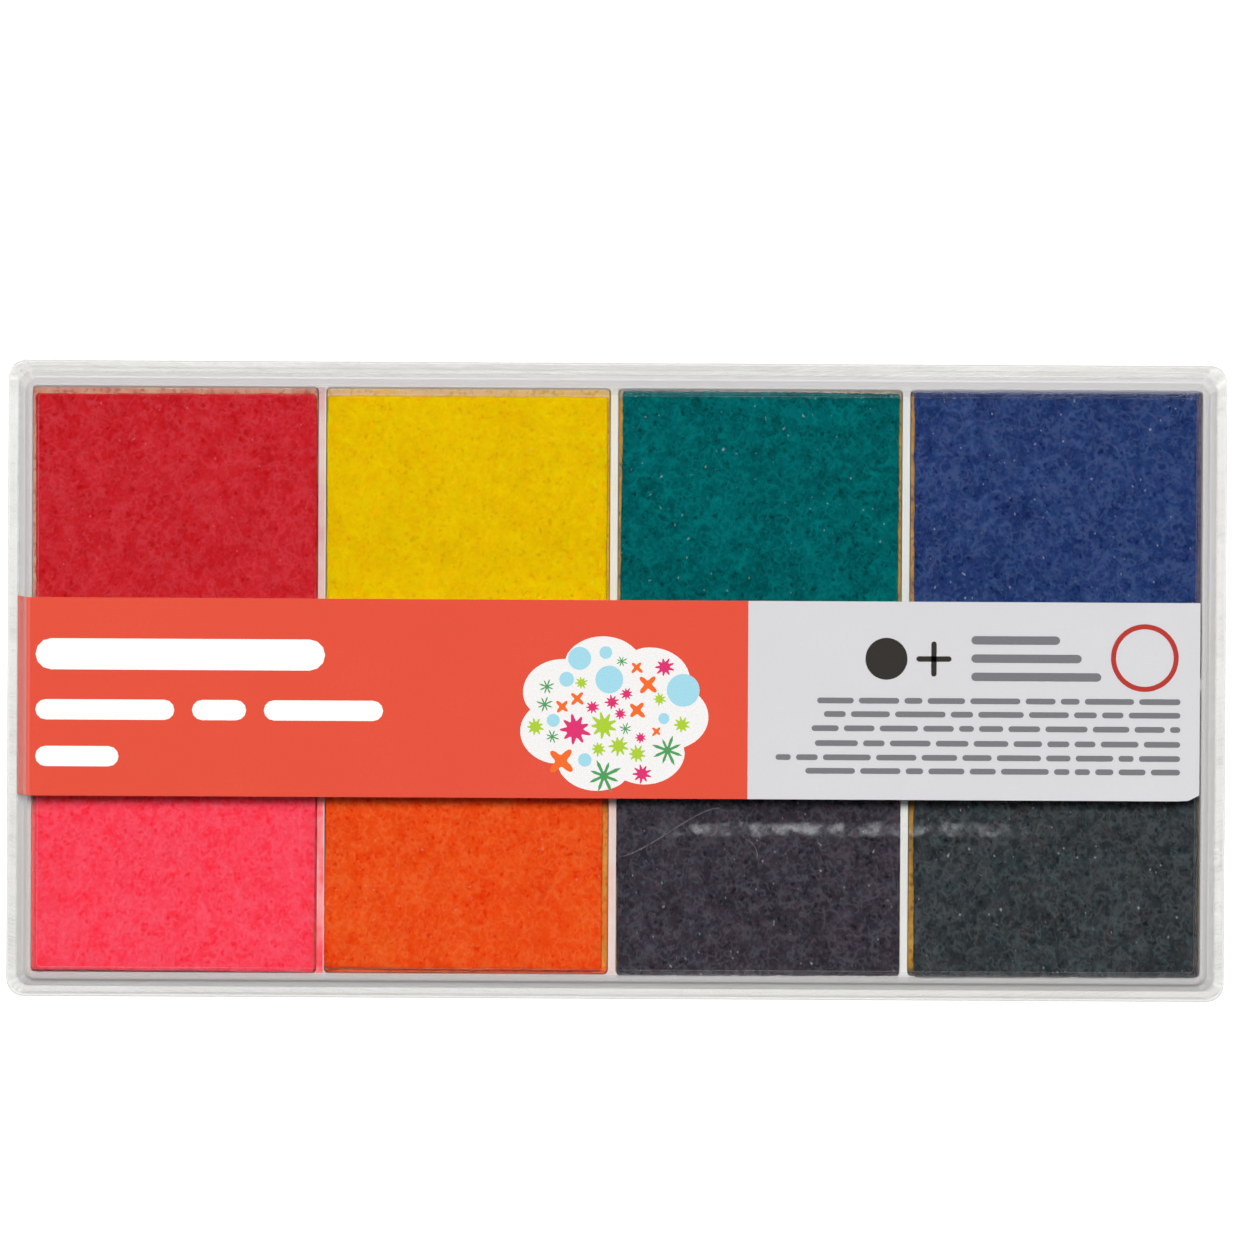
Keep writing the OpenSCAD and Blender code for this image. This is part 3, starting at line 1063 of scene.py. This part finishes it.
def make_lint():
    """A few stray hairs, on the felts and across the ribs."""
    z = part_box("felt_aubergine")[1].z + 0.14 * MM
    points, faces = [], []
    for hair in HAIRS:
        knots = np.array(hair) * MM
        t = np.linspace(0, len(knots) - 1, 10 * len(knots))
        degree = min(3, len(knots) - 1)
        fits = [np.polynomial.Polynomial.fit(range(len(knots)), knots[:, k], degree) for k in (0, 1)]
        path = np.column_stack([fits[0](t), fits[1](t), z + 0.04 * MM * np.sin(t * 2.3)])
        more, quads = tube(path, HAIR_R, 6)
        faces += [tuple(i + len(points) for i in f) for f in quads]
        points += [tuple(p) for p in more]
    lint = new_piece("lint_hairs", points, faces, [lint_material()])
    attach(lint, "base")


# ---------------------------------------------------------------- stage

# What the camera looks at, how wide it sees there, how far off it is, and its angles.
AIM = Vector((1.95, 7.6, 9.5)) * MM
VIEW_WIDTH = 186.1 * MM
DISTANCE = 4.0
TILT = 3.3
ROLL = 0.3

# The key's strength, its angle from straight up and how broad it looks.
KEY_POWER = 3.27
KEY_TILT = 15.5
KEY_ANGLE = 14
# How bright the tent is at its sides, at its top and at its mirrored end panels.
TENT_SIDE = 1.0
TENT_TOP = 0.03
PANEL = 1.6
# Light that the floor gives off itself, so that it photographs as white.
FLOOR_LIFT = 0.82


def make_camera():
    """A long lens almost straight above, leaning a little to the far side."""
    data = bpy.data.cameras.new("camera")
    data.lens = data.sensor_width * DISTANCE / VIEW_WIDTH
    data.clip_start, data.clip_end = 0.1, 20
    camera = bpy.data.objects.new("camera", data)
    bpy.context.scene.collection.objects.link(camera)
    tilt = math.radians(TILT)
    back = Vector((0, math.sin(tilt), math.cos(tilt)))
    camera.location = AIM + back * DISTANCE
    roll = math.radians(ROLL)
    up = Vector((-math.sin(roll), math.cos(roll), 0))
    right = up.cross(back).normalized()
    up = back.cross(right)
    camera.matrix_world = matrix_of(right, up, back, camera.location)
    bpy.context.scene.camera = camera


def matrix_of(right, up, back, where):
    """A camera's matrix from its axes and place."""
    rows = [(right[k], up[k], back[k], where[k]) for k in range(3)]
    return Matrix((*rows, (0, 0, 0, 1)))


def make_floor():
    """A plain pale floor that photographs as white, with only a trace of shadow."""
    size = 8.0
    corners = [(x * size, y * size, 0) for x, y in ((-1, -1), (1, -1), (1, 1), (-1, 1))]
    material, tree, shader = new_material("floor")
    shade = spread(tree, noise(tree, place(tree), 0.4, 2.0), 0.3, 0.7)
    tree.links.new(mixed(tree, shade, srgb("efefef"), srgb("f2f2f2")), shader.inputs["Base Color"])
    shader.inputs["Roughness"].default_value = 0.7
    shader.inputs["Emission Color"].default_value = (1, 1, 1, 1)
    seen = sums(tree, "MULTIPLY", add(tree, "LightPath").outputs["Is Camera Ray"], FLOOR_LIFT)
    tree.links.new(seen, shader.inputs["Emission Strength"])
    floor = new_piece("floor", corners, [(0, 1, 2, 3)], [material], smooth=False)


def make_light():
    """One soft key from the far side of straight up, in a pale tent with bright ends."""
    key = bpy.data.lights.new("key", "SUN")
    key.energy = KEY_POWER
    key.angle = math.radians(KEY_ANGLE)
    lamp = bpy.data.objects.new("key", key)
    lamp.rotation_euler = (math.radians(-KEY_TILT), 0, 0)
    lamp.visible_glossy = False
    bpy.context.scene.collection.objects.link(lamp)

    world = bpy.data.worlds.new("studio")
    world.use_nodes = True
    tree = world.node_tree
    axes = add(tree, "SeparateXYZ", {"Vector": add(tree, "TexCoord").outputs["Generated"]}).outputs
    glow = spread(tree, axes["Z"], 0.05, 0.65, TENT_SIDE, TENT_TOP)
    # Polished plastic also mirrors two bright panels at the ends of the tent.
    end = spread(tree, sums(tree, "ABSOLUTE", axes["X"]), 0.7, 0.85, 0.0, PANEL)
    high = spread(tree, axes["Z"], 0.1, 0.25)
    mirrored = add(tree, "LightPath").outputs["Is Glossy Ray"]
    panel = sums(tree, "MULTIPLY", sums(tree, "MULTIPLY", end, high), mirrored)
    tree.links.new(sums(tree, "ADD", glow, panel), tree.nodes["Background"].inputs["Strength"])
    tree.nodes["Background"].inputs["Color"].default_value = (1, 1, 1, 1)
    bpy.context.scene.world = world
    bpy.context.scene.view_settings.view_transform = "Standard"


# ---------------------------------------------------------------- all of it

make_camera()
make_floor()
make_light()
make_tray()
make_backings()
for number, (felt_name, felt_shade) in enumerate(FELTS.items()):
    make_felt(felt_name, felt_material(felt_name, felt_shade), 100 + number)
make_lint()
make_lid(lid_material())
make_label(
    paper_material("red", LABEL_RED, 0.12),
    paper_material("grey", LABEL_GREY, 0.12),
    paper_material("edge", "f1eeea"),
)
make_print()
